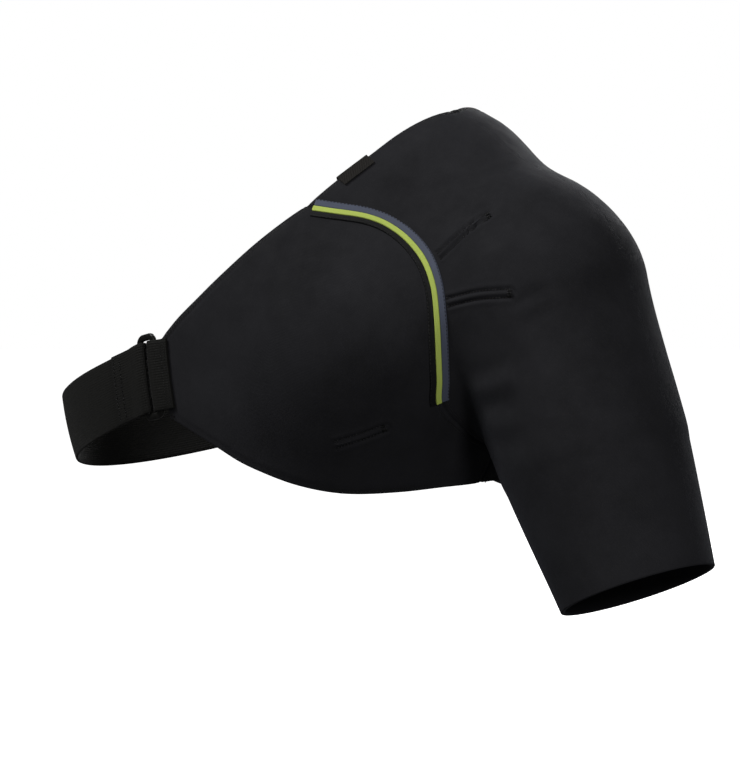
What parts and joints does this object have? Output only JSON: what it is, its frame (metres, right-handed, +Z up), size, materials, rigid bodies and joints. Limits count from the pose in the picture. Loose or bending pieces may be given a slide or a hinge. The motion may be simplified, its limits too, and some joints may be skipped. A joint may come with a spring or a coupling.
{
  "type": "shoulder brace",
  "caption": "Neoprene brace for a left shoulder: short sleeve, front and back panels, taped front seam, and a webbing strap that runs round the chest through a flat ring.",
  "frame": {"origin": "on the inside of the cap at the top of the shoulder, where the brace sits on it", "axes": "+Z up, +X to the wearer's left (the side of the sleeve), -Y to the wearer's front"},
  "size_m": [0.495, 0.2363, 0.3159],
  "materials": {
    "neoprene": "fine black knit on foam rubber, matte with a soft sheen",
    "tape_black": "black woven tape",
    "tape_green": "lime green woven tape",
    "tape_grey": "blue-grey woven tape",
    "tab_cloth": "brownish black woven cloth",
    "webbing": "ribbed black webbing",
    "ring_plastic": "black plastic, satin"
  },
  "bodies": {
    "root": {"shoulder_sleeve": "neoprene", "chest_panel": "neoprene", "back_panel": "neoprene", "tape_black": "tape_black", "tape_green": "tape_green", "tape_grey": "tape_grey", "edge_tab": "tab_cloth", "ring_anchor": "webbing", "strap_ring": "ring_plastic", "strap": "webbing"}
  },
  "joints": []
}
